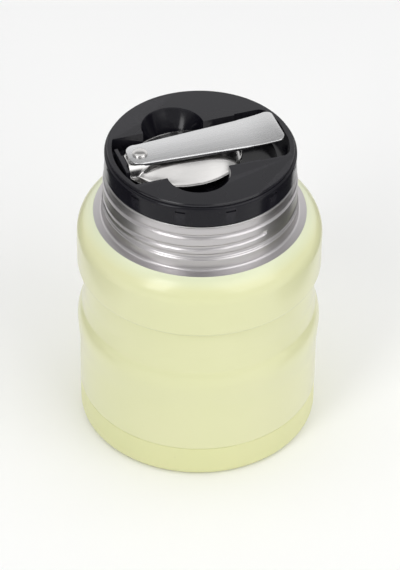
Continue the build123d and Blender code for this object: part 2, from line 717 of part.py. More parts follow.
# Handle: a shallow channel pressed from sheet, with its free end bent up a little.
handle_x0 = pivot_x - HANDLE_LEFT
handle_x1 = recess_x1 - HANDLE_END_GAP
flange_x0 = pivot_x - FLANGE_LEFT
flange_x1 = handle_x1 - TAB_L
flange_z = web_under_z - HANDLE_FLANGE_H


def handle_section(x0, web_z):
    """Lengthwise section from x0 to the free end, from the flange's edge up to web_z."""
    tip = (handle_x1, web_z + HANDLE_LIFT)
    bend = TangentArc((flange_x1, web_z), tip, tangent=(1, 0))
    Polyline(bend @ 1, (handle_x1, flange_z), (x0, flange_z), (x0, web_z))
    return Line((x0, web_z), bend @ 0)


with BuildPart() as spoon_handle:
    with BuildSketch(Plane.XZ):
        with BuildLine():
            handle_section(handle_x0, web_top_z)
        make_face()
    extrude(amount=HANDLE_HALF_W, both=True)
    with BuildSketch(Plane.XY.offset(flange_z)) as handle_plan:
        with Locations((handle_x0, 0)):
            Rectangle(handle_x1 - handle_x0, 2 * HANDLE_HALF_W, align=(Align.MIN, Align.CENTER))
        fillet(handle_plan.vertices().group_by(Axis.X)[0], HANDLE_LEFT_CORNER)
        fillet(handle_plan.vertices().group_by(Axis.X)[-1], HANDLE_RIGHT_CORNER)
        with Locations((pivot_x, 0)):
            Circle(bore_r, mode=Mode.SUBTRACT)
    extrude(amount=web_top_z + HANDLE_LIFT - flange_z, mode=Mode.INTERSECT)
    with BuildSketch(Plane.XZ):
        with BuildLine():
            handle_section(handle_x0, web_under_z)
        make_face()
    extrude(amount=HANDLE_HALF_W - HANDLE_T, both=True, mode=Mode.SUBTRACT)
    with BuildSketch(Plane.XZ):
        with BuildLine():
            bend = TangentArc(
                (flange_x1, web_under_z), (handle_x1, web_under_z + HANDLE_LIFT), tangent=(1, 0)
            )
            Polyline(bend @ 1, (handle_x1, flange_z), (flange_x1, flange_z), bend @ 0)
        make_face()
        with Locations((handle_x0, flange_z)):
            Rectangle(flange_x0 - handle_x0, HANDLE_FLANGE_H, align=(Align.MIN, Align.MIN))
    extrude(amount=HANDLE_HALF_W, both=True, mode=Mode.SUBTRACT)
spoon_handle.part.label = "spoon_handle"
export_step(spoon_handle.part, "parts/spoon_handle.step")

# Rivet through the neck plate and the handle, with a domed head above.
with BuildPart() as spoon_rivet:
    head_z = web_top_z + RIVET_CLEAR
    tail_z = neck_plate_z - NECK_T - RIVET_CLEAR
    with BuildSketch(Plane.XZ):
        with BuildLine():
            Polyline(
                (pivot_x, head_z + RIVET_HEAD_H),
                (pivot_x, tail_z - RIVET_TAIL_H),
                (pivot_x + RIVET_HEAD_R, tail_z - RIVET_TAIL_H),
                (pivot_x + RIVET_HEAD_R, tail_z),
                (pivot_x + RIVET_R, tail_z),
                (pivot_x + RIVET_R, head_z),
                (pivot_x + RIVET_HEAD_R, head_z),
            )
            dome_top = (pivot_x, head_z + RIVET_HEAD_H)
            TangentArc(dome_top, (pivot_x + RIVET_HEAD_R, head_z), tangent=(1, 0))
        make_face()
    revolve(axis=Axis((pivot_x, 0, 0), (0, 0, 1)))
spoon_rivet.part.label = "spoon_rivet"
export_step(spoon_rivet.part, "parts/spoon_rivet.step")
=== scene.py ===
import math

import bmesh
import bpy
from mathutils import Matrix, Vector


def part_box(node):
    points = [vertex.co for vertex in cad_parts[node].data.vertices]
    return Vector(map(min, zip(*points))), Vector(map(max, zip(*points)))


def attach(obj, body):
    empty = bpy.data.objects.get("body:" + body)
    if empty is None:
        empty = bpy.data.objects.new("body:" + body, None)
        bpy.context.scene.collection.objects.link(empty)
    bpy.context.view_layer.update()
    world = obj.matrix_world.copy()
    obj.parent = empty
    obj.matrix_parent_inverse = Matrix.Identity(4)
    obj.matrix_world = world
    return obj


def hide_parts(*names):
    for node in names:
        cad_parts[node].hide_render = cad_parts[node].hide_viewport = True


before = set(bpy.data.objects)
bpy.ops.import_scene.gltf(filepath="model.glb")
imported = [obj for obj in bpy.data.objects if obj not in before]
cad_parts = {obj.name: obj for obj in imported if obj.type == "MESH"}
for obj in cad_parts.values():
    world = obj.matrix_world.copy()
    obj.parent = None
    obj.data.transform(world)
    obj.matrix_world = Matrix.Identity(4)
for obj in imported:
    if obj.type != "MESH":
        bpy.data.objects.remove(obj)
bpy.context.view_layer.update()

# ---------------------------------------------------------------- sizes, in millimetres
# +Z is up, the origin is the centre of the base ring, +X runs along the folding spoon.
MM = 0.001
ROUND = 256  # facets round a turned piece
FINE_ROUND = 360  # the same where a screw or windows are cut
SMALL_ROUND = 72
SHARP = 32.0  # degrees between faces from which an edge shades sharp


def node_box(name):
    """Lowest and highest corner of a solid, in millimetres."""
    lo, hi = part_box(name)
    return lo / MM, hi / MM


shell_lo, shell_hi = node_box("outer_shell")
base_hi = node_box("base_cup")[1]
liner_lo, liner_hi = node_box("inner_liner")
plug_lo, plug_hi = node_box("stopper_body")
deck_hi = node_box("stopper_top")[1]
seal_lo, seal_hi = node_box("stopper_seal")
scoop_lo, scoop_hi = node_box("spoon_bowl")
handle_lo, handle_hi = node_box("spoon_handle")
rivet_lo, rivet_hi = node_box("spoon_rivet")

# painted shell
CREST_OUT = 0.75
body_r = shell_hi.x - CREST_OUT
foot_z = shell_lo.z
foot_r = body_r - 1.7
cuff_z = base_hi.z + 0.15
swell_z = cuff_z + 19.05
crest_z = swell_z + 12.0
fall_z = crest_z + 6.3
FALL_IN = 1.45
waist_z = fall_z + 6.2
waist_r = body_r - 1.55
hem_z = waist_z + 13.6
HEM_R = 1.8
shoulder_r = body_r + 0.7
dome_z = hem_z + HEM_R + 13.1
DOME_RX = 12.7
DOME_RZ = 11.0
SHEET = 0.6

# steel neck, from its top down
neck_top_z = shell_hi.z
collar_r = 36.4
collar_z = neck_top_z - 2.5
top_groove_z = collar_z - 2.4
TOP_GROOVE_DEEP = 0.75
band_z = top_groove_z - 6.6
band_r = collar_r + 0.5
low_groove_z = band_z - 2.2
LOW_GROOVE_DEEP = 0.45
land_r = band_r + 0.4
land_top_z = low_groove_z - 0.8
land_z = land_top_z - 3.5
ROOT_R = 1.1
shelf_z = land_z - ROOT_R
paint_r = land_r + ROOT_R + 2.2
neck_in_r = 35.55
PAINT_LIP = 0.07
SCREW_LEAD = 5.0
SCREW_START = 20.5  # degrees where the neck's screw groove leaves the low groove
SCREW_SWEEP = 270.0
SCREW_START_Z = band_z - 0.67
SCREW_TOOL_R = 1.35
SCREW_DEEP = 0.65

# liner and stopper
LINER_T = 0.5
mouth_r = 34.6
rim_z = liner_hi.z
liner_r = (liner_hi.x - liner_lo.x) / 2 - LINER_T
liner_floor_z = liner_lo.z + LINER_T
THROAT_R = 32.2
throat_top_z = seal_lo.z - 1.2
mouth_foot_z = throat_top_z + 3.2
liner_dome_z = dome_z - 2.5
LINER_DOME_H = 11.0
RIDGE_SWEEP = 342.0
RIDGE_BASE = 2.4
RIDGE_TIP = 1.0
skirt_r = (plug_hi.x - plug_lo.x) / 2
skirt_z = rim_z + 0.2
skirt_top_z = plug_hi.z
skirt_in_r = skirt_r - 1.3
plug_z = plug_lo.z
PLUG_R = 32.9
PLUG_IN_R = 30.6
PLUG_FLOOR = 1.5
SKIRT_FLOOR = 1.8
seal_r = (seal_hi.x - seal_lo.x) / 2
groove_z = seal_lo.z - 0.05
groove_top_z = seal_hi.z + 0.05
groove_r = seal_r - 1.7
WINDOWS = 12
WINDOW_TURN = -1.0  # degrees from +X to the middle of the first window
WINDOW_HALF_SPAN = 3.1  # degrees
window_z = skirt_z + 5.55
WINDOW_H = 0.9
SCOOP_R = 12.0  # finger scoops in the deck
SCOOP_Y = 14.9
TONGUE_RISE = 0.6
DISH_FALL = 8.6
DISH_TILT = 0.52  # how far a scoop's dished wall comes in for each millimetre down
DISH_EASE = 0.45  # share of its reach over which the tilt comes in from each end

# spoon, lying face down under its handle
pivot_x = (rivet_lo.x + rivet_hi.x) / 2
BOWL_HALF_L = 21.8
BOWL_HALF_W = 17.0
BOWL_DEEP = 5.2
BOSS_H = 0.85
BOSS_R = 4.5
RIVET_R = 2.0
RIVET_HEAD_R = 2.95
RIVET_EDGE = 0.2
RIVET_DOME = 1.05
RIVET_TAIL_R = 2.8
RIVET_TAIL = 0.9
SPOON_T = 0.8
RIM_EDGE = 0.45  # upright edge of the sheet round the bowl
RIDGE_FULL = 3.6  # powers that shape the bowl's ridge along its length
RIDGE_END = 0.7
LIP_SOFT = 0.3
neck_top = scoop_hi.z - BOSS_H
bowl_x = pivot_x + 18.0
bowl_rim_z = neck_top - BOWL_DEEP
neck_tip_x = scoop_lo.x
NECK_TIP_W = 5.5
NECK_L = 8.0
NECK_FLAT = 2.6  # half width of the neck's level top
NECK_END_FLAT = 0.5
NECK_FALL = 2.8  # width over which the neck falls to the rim
NECK_MIN_FALL = 2.2
NECK_SOFT = 0.25
EAR_W = 10.4  # half width of the shoulders beside the neck
EAR_L = 5.4
EAR_BLEND = 2.4  # softness of the change from shoulder to bowl
EAR_REACH = 9.0  # distance from the bowl's middle where the change is over
EAR_FADE = 8.0
HANDLE_W0 = 5.7  # half width at the pivot end
handle_w1 = HANDLE_W0 + 3.6
web_top_z = neck_top + 1.7
FLANGE_H = 0.7
flange_x0 = pivot_x - 0.5
flange_x1 = handle_hi.x - 12.7
TAB_LIFT = 1.1
HANDLE_CORNER_PIVOT = 3.5
HANDLE_CORNER_END = 3.0

# ---------------------------------------------------------------- shader groups


FLOAT = "NodeSocketFloat"


def link(tree, out_socket, in_socket):
    tree.links.new(out_socket, in_socket)


def new_group(name, inputs, outputs):
    """Empty shader group with a vector input, float inputs (name: value) and outputs (name: type)."""
    tree = bpy.data.node_groups.new(name, "ShaderNodeTree")
    tree.interface.new_socket("Vector", in_out="INPUT", socket_type="NodeSocketVector")
    for label, value in inputs.items():
        socket = tree.interface.new_socket(label, in_out="INPUT", socket_type=FLOAT)
        socket.default_value = value
    for label, kind in outputs.items():
        tree.interface.new_socket(label, in_out="OUTPUT", socket_type=kind)
    return tree, tree.nodes.new("NodeGroupInput"), tree.nodes.new("NodeGroupOutput")


def maths(tree, operation, first, second=None):
    node = tree.nodes.new("ShaderNodeMath")
    node.operation = operation
    for i, value in enumerate((first, second)):
        if value is None:
            continue
        if isinstance(value, (int, float)):
            node.inputs[i].default_value = value
        else:
            link(tree, value, node.inputs[i])
    return node.outputs[0]


def parts_of(tree, vector):
    """X, Y and Z of a vector."""
    node = tree.nodes.new("ShaderNodeSeparateXYZ")
    link(tree, vector, node.inputs[0])
    return node.outputs


def vector_maths(tree, operation, first, second=None, scale=None):
    node = tree.nodes.new("ShaderNodeVectorMath")
    node.operation = operation
    for label, value in ((0, first), (1, second), ("Scale", scale)):
        if isinstance(value, tuple):
            node.inputs[label].default_value = value
        elif value is not None:
            link(tree, value, node.inputs[label])
    return node.outputs["Value" if operation == "DOT_PRODUCT" else "Vector"]


def noise_of(tree, vector, scale, detail=3.0, roughness=0.5):
    """Noise value on a vector; scale is a socket or a number."""
    node = tree.nodes.new("ShaderNodeTexNoise")
    link(tree, vector, node.inputs["Vector"])
    if isinstance(scale, (int, float)):
        node.inputs["Scale"].default_value = scale
    else:
        link(tree, scale, node.inputs["Scale"])
    node.inputs["Detail"].default_value = detail
    node.inputs["Roughness"].default_value = roughness
    return node.outputs["Fac"]


def remap(tree, value, low, high, to_low, to_high):
    node = tree.nodes.new("ShaderNodeMapRange")
    link(tree, value, node.inputs["Value"])
    for label, v in (("From Min", low), ("From Max", high), ("To Min", to_low), ("To Max", to_high)):
        if isinstance(v, (int, float)):
            node.inputs[label].default_value = v
        else:
            link(tree, v, node.inputs[label])
    return node.outputs["Result"]


GRAIN_OUTPUTS = {"Grain": FLOAT, "Bands": FLOAT}
CONE_SHARE = 1.3  # how far the turning lines move along Z for each step outwards


def grain_outputs(tree, vector, into, out, roughness, band_share):
    """Feeds a grain group's outputs: the fine lines, and broader bands at a share of their scale."""
    lines = into.outputs["Lines"]
    link(tree, noise_of(tree, vector, lines, 4.0, roughness), out.inputs["Grain"])
    broad = maths(tree, "MULTIPLY", lines, band_share)
    link(tree, noise_of(tree, vector, broad, 2.0), out.inputs["Bands"])


def ring_grain_group():
    """Fine lines left by turning: streaks that are long round Z and short along it."""
    tree, into, out = new_group("ring_grain", {"Lines": 2600.0, "Stretch": 0.02}, GRAIN_OUTPUTS)
    parts = parts_of(tree, into.outputs["Vector"])
    squares = [maths(tree, "POWER", parts[i], 2.0) for i in range(2)]
    radius = maths(tree, "SQRT", maths(tree, "ADD", *squares))
    across = maths(tree, "ADD", parts[2], maths(tree, "MULTIPLY", radius, CONE_SHARE))
    join = tree.nodes.new("ShaderNodeCombineXYZ")
    for i in range(2):
        link(tree, maths(tree, "MULTIPLY", parts[i], into.outputs["Stretch"]), join.inputs[i])
    link(tree, across, join.inputs[2])
    grain_outputs(tree, join.outputs[0], into, out, 0.65, 0.16)
    return tree


def length_grain_group():
    """Brushed lines running along X."""
    tree, into, out = new_group("length_grain", {"Lines": 2400.0, "Stretch": 0.03}, GRAIN_OUTPUTS)
    parts = parts_of(tree, into.outputs["Vector"])
    join = tree.nodes.new("ShaderNodeCombineXYZ")
    link(tree, maths(tree, "MULTIPLY", parts[0], into.outputs["Stretch"]), join.inputs[0])
    link(tree, parts[1], join.inputs[1])
    link(tree, parts[2], join.inputs[2])
    grain_outputs(tree, join.outputs[0], into, out, 0.6, 0.2)
    return tree


def skin_group():
    """Soft clouds of handling, a fine orange peel, and small specks of dust."""
    tree, into, out = new_group(
        "skin",
        {"Cloud Scale": 28.0, "Peel Scale": 900.0, "Speck Scale": 420.0, "Speck Share": 0.3},
        {"Cloud": FLOAT, "Peel": FLOAT, "Speck": FLOAT},
    )
    place = into.outputs["Vector"]
    link(tree, noise_of(tree, place, into.outputs["Cloud Scale"], 3.0), out.inputs["Cloud"])
    link(tree, noise_of(tree, place, into.outputs["Peel Scale"], 2.0), out.inputs["Peel"])
    cells = tree.nodes.new("ShaderNodeTexVoronoi")
    link(tree, place, cells.inputs["Vector"])
    link(tree, into.outputs["Speck Scale"], cells.inputs["Scale"])
    near = remap(tree, cells.outputs["Distance"], 0.04, 0.12, 1.0, 0.0)
    split = tree.nodes.new("ShaderNodeSeparateColor")
    link(tree, cells.outputs["Color"], split.inputs[0])
    chosen = maths(tree, "LESS_THAN", split.outputs[0], into.outputs["Speck Share"])
    link(tree, maths(tree, "MULTIPLY", near, chosen), out.inputs["Speck"])
    return tree


def edge_highlight_group():
    """1 on convex edges and 0 elsewhere, broken up a little: the mask of a painted highlight along a
    rounded edge.
    """
    tree, into, out = new_group("painted_edge_highlight", {"Low": 0.51, "High": 0.56}, {"Edge": FLOAT})
    geometry = tree.nodes.new("ShaderNodeNewGeometry")
    pointed = geometry.outputs["Pointiness"]
    found = remap(tree, pointed, into.outputs["Low"], into.outputs["High"], 0.0, 1.0)
    broken = remap(tree, noise_of(tree, into.outputs["Vector"], 700.0, 2.0), 0.3, 0.6, 0.5, 1.0)
    link(tree, maths(tree, "MULTIPLY", found, broken), out.inputs["Edge"])
    return tree


RING_GRAIN = ring_grain_group()
LENGTH_GRAIN = length_grain_group()
SKIN = skin_group()
EDGE_HIGHLIGHT = edge_highlight_group()


class Finish:
    """A material under construction: its tree, its Principled shader and the object coordinates."""

    def __init__(self, name, **values):
        self.material = bpy.data.materials.new(name)
        self.material.use_nodes = True
        self.tree = self.material.node_tree
        self.shader = self.tree.nodes["Principled BSDF"]
        for label, value in values.items():
            self.shader.inputs[label.replace("_", " ")].default_value = value
        self.place = self.tree.nodes.new("ShaderNodeTexCoord").outputs["Object"]

    def group(self, tree, **values):
        node = self.tree.nodes.new("ShaderNodeGroup")
        node.node_tree = tree
        link(self.tree, self.place, node.inputs["Vector"])
        for label, value in values.items():
            node.inputs[label.replace("_", " ")].default_value = value
        return node.outputs

    def blend(self, mask, first, second):
        """Colour that goes from first to second as the mask goes from 0 to 1."""
        node = self.tree.nodes.new("ShaderNodeMix")
        node.data_type = "RGBA"
        link(self.tree, mask, node.inputs[0])
        for i, value in ((6, first), (7, second)):
            if isinstance(value, tuple):
                node.inputs[i].default_value = (*value, 1.0)
            else:
                link(self.tree, value, node.inputs[i])
        return node.outputs[2]

    def feed(self, label, socket):
        link(self.tree, socket, self.shader.inputs[label])

    def bump(self, *heights, base=None):
        """Chains bumps; each is (socket, strength, distance in millimetres)."""
        normal = base
        for socket, strength, distance in heights:
            node = self.tree.nodes.new("ShaderNodeBump")
            node.inputs["Strength"].default_value = strength
            node.inputs["Distance"].default_value = distance * MM
            link(self.tree, socket, node.inputs["Height"])
            if normal is not None:
                link(self.tree, normal, node.inputs["Normal"])
            normal = node.outputs["Normal"]
        self.feed("Normal", normal)

    def ramp(self, socket, low, high, to_low, to_high):
        return remap(self.tree, socket, low, high, to_low, to_high)

    def spread(self, socket):
        """0 to 1 over the middle of a noise's range."""
        return self.ramp(socket, 0.35, 0.65, 0.0, 1.0)


def pearl_paint():
    f = Finish("pale_yellow_paint", Metallic=0.0, Coat_Weight=0.6, Coat_Roughness=0.16)
    f.shader.inputs["Sheen Weight"].default_value = 0.12
    f.shader.inputs["Sheen Roughness"].default_value = 0.4
    f.shader.inputs["Sheen Tint"].default_value = (0.80, 0.72, 1.0, 1.0)
    skin = f.group(SKIN, Cloud_Scale=16.0, Peel_Scale=1100.0, Speck_Scale=300.0, Speck_Share=0.04)
    tone = f.blend(f.spread(skin["Cloud"]), (0.742, 0.752, 0.430), (0.765, 0.765, 0.455))
    height = parts_of(f.tree, f.place)[2]
    # Painted highlight: the paint turns pale mint towards the top of the shoulder dome, where light from
    # above falls.
    painted_top_highlight = f.ramp(height, (dome_z + 6.0) * MM, (dome_z + DOME_RZ) * MM, 0.0, 0.8)
    tone = f.blend(painted_top_highlight, tone, (0.79, 0.87, 0.68))
    f.feed("Base Color", f.blend(f.ramp(skin["Speck"], 0.0, 1.0, 0.0, 0.25), tone, (0.62, 0.62, 0.40)))
    f.feed("Roughness", f.ramp(skin["Cloud"], 0.3, 0.7, 0.34, 0.42))
    f.bump((skin["Peel"], 0.05, 0.05))
    return f.material


def base_plastic():
    f = Finish("pale_yellow_plastic", Metallic=0.0, Coat_Weight=0.1, Coat_Roughness=0.3)
    skin = f.group(SKIN, Cloud_Scale=20.0, Peel_Scale=1800.0, Speck_Scale=260.0, Speck_Share=0.06)
    tone = f.blend(f.spread(skin["Cloud"]), (0.742, 0.752, 0.400), (0.762, 0.762, 0.418))
    f.feed("Base Color", f.blend(f.ramp(skin["Speck"], 0.0, 1.0, 0.0, 0.3), tone, (0.58, 0.58, 0.36)))
    f.feed("Roughness", f.ramp(skin["Cloud"], 0.3, 0.7, 0.36, 0.46))
    f.bump((skin["Peel"], 0.12, 0.03))
    return f.material


def turned_steel(name, low_rough, high_rough, dark, light, lines=2600.0, bump=0.22):
    f = Finish(name, Metallic=1.0)
    grain = f.group(RING_GRAIN, Lines=lines)
    skin = f.group(SKIN, Cloud_Scale=45.0, Speck_Share=0.0)
    tone = f.blend(f.spread(grain["Bands"]), dark, light)
    f.feed("Base Color", f.blend(f.ramp(skin["Cloud"], 0.4, 0.7, 0.0, 0.35), tone, light))
    f.feed("Roughness", f.ramp(grain["Grain"], 0.3, 0.7, low_rough, high_rough))
    f.bump((grain["Grain"], bump, 0.03), (grain["Bands"], bump * 0.45, 0.05))
    return f.material


def brushed_steel():
    f = Finish("brushed_spoon_steel", Metallic=1.0)
    grain = f.group(LENGTH_GRAIN)
    skin = f.group(SKIN, Cloud_Scale=60.0, Speck_Share=0.0)
    tone = f.blend(f.spread(grain["Bands"]), (0.635, 0.635, 0.64), (0.66, 0.66, 0.665))
    f.feed("Base Color", f.blend(f.ramp(skin["Cloud"], 0.4, 0.7, 0.0, 0.3), tone, (0.68, 0.68, 0.685)))
    f.feed("Roughness", f.ramp(grain["Grain"], 0.3, 0.7, 0.24, 0.32))
    f.bump((grain["Grain"], 0.07, 0.02))
    return f.material


def polished_steel():
    f = Finish("polished_spoon_steel", Metallic=1.0)
    grain = f.group(LENGTH_GRAIN, Lines=1500.0, Stretch=0.08)
    skin = f.group(SKIN, Cloud_Scale=70.0, Peel_Scale=260.0, Speck_Share=0.0)
    clouds = f.spread(skin["Cloud"])
    f.feed("Base Color", f.blend(clouds, (0.56, 0.55, 0.54), (0.61, 0.60, 0.59)))
    f.feed("Roughness", f.ramp(grain["Grain"], 0.3, 0.7, 0.17, 0.23))
    f.bump((grain["Grain"], 0.05, 0.02), (skin["Peel"], 0.05, 0.05))
    return f.material


def black_plastic(name, deck_level=None, specular=0.5):
    """Black moulded plastic, glossy, with a satin upper face where deck_level is given."""
    f = Finish(name, Metallic=0.0, IOR=1.5, Specular_IOR_Level=specular)
    skin = f.group(SKIN, Cloud_Scale=38.0, Peel_Scale=2300.0, Speck_Scale=380.0, Speck_Share=0.05)
    edge = f.group(EDGE_HIGHLIGHT)["Edge"]
    clouds = f.spread(skin["Cloud"])
    tone = f.blend(clouds, (0.0058, 0.0055, 0.0085), (0.0078, 0.0073, 0.0110))
    dusty = f.blend(f.ramp(skin["Speck"], 0.0, 1.0, 0.0, 0.3), tone, (0.05, 0.05, 0.05))
    # Convex edges are painted lighter grey: a painted highlight along the rounded edges.
    f.feed("Base Color", f.blend(f.ramp(edge, 0.0, 1.0, 0.0, 0.35), dusty, (0.035, 0.034, 0.040)))
    gloss = f.ramp(skin["Cloud"], 0.3, 0.7, 0.12, 0.18)
    crown = None
    if deck_level is not None:
        height = parts_of(f.tree, f.place)[2]
        on_deck = f.ramp(height, (deck_level - 0.12) * MM, (deck_level - 0.04) * MM, 0.0, 1.0)
        satin = maths(f.tree, "MULTIPLY", on_deck, f.ramp(skin["Cloud"], 0.3, 0.7, 0.10, 0.15))
        gloss = maths(f.tree, "ADD", gloss, satin)
        crown = crowned_normal(f, on_deck)
    f.feed("Roughness", gloss)
    f.bump((skin["Peel"], 0.06, 0.02), base=crown)
    return f.material


CROWN = 0.5  # tilt of the deck's face for each metre from its middle


def crowned_normal(f, mask):
    """Normal of a top face that is moulded very slightly domed, where the mask is 1."""
    spread = vector_maths(f.tree, "MULTIPLY", f.place, (CROWN, CROWN, 0.0))
    masked = vector_maths(f.tree, "SCALE", spread, scale=mask)
    normal = f.tree.nodes.new("ShaderNodeNewGeometry").outputs["Normal"]
    return vector_maths(f.tree, "NORMALIZE", vector_maths(f.tree, "ADD", normal, masked))


def plain_stuff(name, first, second, rough, metallic=0.0, cloud=60.0, peel=900.0, bump=0.3, **values):
    """Finish for an inner piece: clouded colour and roughness with a fine relief."""
    f = Finish(name, Metallic=metallic, **values)
    skin = f.group(SKIN, Cloud_Scale=cloud, Peel_Scale=peel, Speck_Share=0.1)
    tone = f.blend(f.spread(skin["Cloud"]), first, second)
    f.feed("Base Color", f.blend(f.ramp(skin["Speck"], 0.0, 1.0, 0.0, 0.3), tone, first))
    f.feed("Roughness", f.ramp(skin["Cloud"], 0.3, 0.7, rough - 0.06, rough + 0.06))
    f.bump((skin["Peel"], bump, 0.08))
    return f.material


PAINT = pearl_paint()
BASE_PLASTIC = base_plastic()
NECK_STEEL = turned_steel(
    "brushed_neck_steel", 0.29, 0.36, (0.50, 0.482, 0.487), (0.55, 0.532, 0.538), bump=0.05
)
LINER_STEEL = turned_steel(
    "brushed_liner_steel", 0.24, 0.40, (0.48, 0.475, 0.47), (0.60, 0.595, 0.59), lines=1800.0
)
SPOON_STEEL = polished_steel()
HANDLE_STEEL = brushed_steel()
DECK_BLACK = black_plastic("black_deck_plastic", deck_hi.z - 0.6, 0.36)
SKIRT_BLACK = black_plastic("black_skirt_plastic", specular=0.22)
SILICONE = plain_stuff(
    "seal_silicone", (0.62, 0.62, 0.60), (0.70, 0.70, 0.68), 0.42, Subsurface_Weight=0.15
)
FOAM = plain_stuff("insulating_foam", (0.78, 0.76, 0.66), (0.86, 0.84, 0.75), 0.85, peel=520.0, bump=0.9)
COPPER = plain_stuff(
    "copper_foil", (0.80, 0.42, 0.30), (0.88, 0.52, 0.38), 0.24, metallic=1.0, peel=160.0
)
BRAZE = plain_stuff("grey_braze", (0.30, 0.30, 0.30), (0.40, 0.39, 0.37), 0.55, metallic=0.8)
BOTTOM_STEEL = turned_steel("bottom_plate_steel", 0.30, 0.45, (0.44, 0.44, 0.44), (0.55, 0.55, 0.55))


# ---------------------------------------------------------------- making pieces


def arc(centre, radius_r, radius_z, start, sweep, steps):
    """Points of an arc or a quarter ellipse in the (radius, height) plane, ends included."""
    points = []
    for i in range(steps + 1):
        a = math.radians(start + sweep * i / steps)
        points.append((centre[0] + radius_r * math.cos(a), centre[1] + radius_z * math.sin(a)))
    return points


def eased(outline, steps=4):
    """Rounds the corners of a closed outline. A point is (r, z) or (r, z, corner radius)."""
    done = []
    count = len(outline)
    for i, point in enumerate(outline):
        here = Vector(point[:2])
        size = point[2] if len(point) > 2 else 0.0
        back = Vector(outline[i - 1][:2]) - here
        ahead = Vector(outline[(i + 1) % count][:2]) - here
        if size <= 0 or back.length < 1e-6 or ahead.length < 1e-6:
            done.append((here.x, here.y))
            continue
        opening = back.angle(ahead)
        if opening > math.radians(178):
            done.append((here.x, here.y))
            continue
        reach = min(size / math.tan(opening / 2), 0.4 * back.length, 0.4 * ahead.length)
        size = reach * math.tan(opening / 2)
        hold = min(0.3 * reach, 0.08 * back.length, 0.08 * ahead.length)
        b, a = back.normalized(), ahead.normalized()
        centre = here + (b + a).normalized() * (size / math.sin(opening / 2))
        start, end = here + b * reach - centre, here + a * reach - centre
        turn = math.pi - opening
        done.append(tuple(here + b * (reach + hold)))
        for k in range(steps + 1):
            t = k / steps
            spoke = start * math.sin((1 - t) * turn) + end * math.sin(t * turn)
            done.append(tuple(centre + spoke / math.sin(turn)))
        done.append(tuple(here + a * (reach + hold)))
    return done


def rows(radius, low, high, step):
    """Straight wall cut into even rows, both ends included."""
    count = max(1, round(abs(high - low) / step))
    return [(radius, low + (high - low) * i / count) for i in range(count + 1)]


def finish_piece(obj, body, material, replaced=()):
    """Puts the material on a finished piece, makes it ride on its body and stand for its solids."""
    obj.data.materials.clear()
    obj.data.materials.append(material)
    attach(obj, body)
    if replaced:
        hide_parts(*replaced)


def new_object(name, data):
    """Puts a mesh, light or camera in the scene as an object."""
    obj = bpy.data.objects.new(name, data)
    bpy.context.scene.collection.objects.link(obj)
    return obj


def smooth_piece(obj):
    for polygon in obj.data.polygons:
        polygon.use_smooth = True
    obj.data.set_sharp_from_angle(angle=math.radians(SHARP))


def turned(name, outline, centre=(0.0, 0.0), facets=ROUND, shape=None):
    """Piece turned about a vertical axis. The outline is closed, or starts and ends on the axis,
    and goes up outside and down inside. shape(angle, r, z) may give a point its own radius."""
    on_axis = outline[0][0] < 1e-6 and outline[-1][0] < 1e-6
    verts, faces, rings = [], [], []
    for r, z in outline:
        if r < 1e-6:
            rings.append([len(verts)] * facets)
            verts.append((centre[0] * MM, centre[1] * MM, z * MM))
            continue
        ring = []
        for j in range(facets):
            a = math.tau * j / facets
            radius = shape(math.degrees(a), r, z) if shape else r
            x, y = centre[0] + radius * math.cos(a), centre[1] + radius * math.sin(a)
            ring.append(len(verts))
            verts.append((x * MM, y * MM, z * MM))
        rings.append(ring)
    pairs = list(zip(rings, rings[1:]))
    if not on_axis:
        pairs.append((rings[-1], rings[0]))
    for low, high in pairs:
        for j in range(facets):
            k = (j + 1) % facets
            corners = [low[j], low[k], high[k], high[j]]
            corners = [c for n, c in enumerate(corners) if c not in corners[:n]]
            if len(corners) > 2:
                faces.append(corners)
    mesh = bpy.data.meshes.new(name)
    mesh.from_pydata(verts, [], faces)
    mesh.update()
    obj = new_object(name, mesh)
    smooth_piece(obj)
    return obj


def lofted(name, sections):
    """Closed skin through a row of closed sections with the same number of points each."""
    verts = [(x * MM, y * MM, z * MM) for section in sections for x, y, z in section]
    count = len(sections[0])
    faces = []
    for i in range(len(sections) - 1):
        for j in range(count):
            k = (j + 1) % count
            faces.append((i * count + j, i * count + k, (i + 1) * count + k, (i + 1) * count + j))
    faces.append(tuple(range(count)))
    last = (len(sections) - 1) * count
    faces.append(tuple(last + j for j in reversed(range(count))))
    mesh = bpy.data.meshes.new(name)
    mesh.from_pydata(verts, [], faces)
    shape = bmesh.new()
    shape.from_mesh(mesh)
    bmesh.ops.remove_doubles(shape, verts=shape.verts, dist=1e-6)
    bmesh.ops.recalc_face_normals(shape, faces=shape.faces)
    shape.to_mesh(mesh)
    shape.free()
    obj = new_object(name, mesh)
    smooth_piece(obj)
    return obj


def baked(obj):
    """Replaces an object's mesh by its evaluated one and drops its modifiers."""
    bpy.context.view_layer.update()
    graph = bpy.context.evaluated_depsgraph_get()
    done = obj.evaluated_get(graph)
    mesh = bpy.data.meshes.new_from_object(done, preserve_all_data_layers=True, depsgraph=graph)
    obj.modifiers.clear()
    obj.data = mesh
    mesh.name = obj.name
    return obj


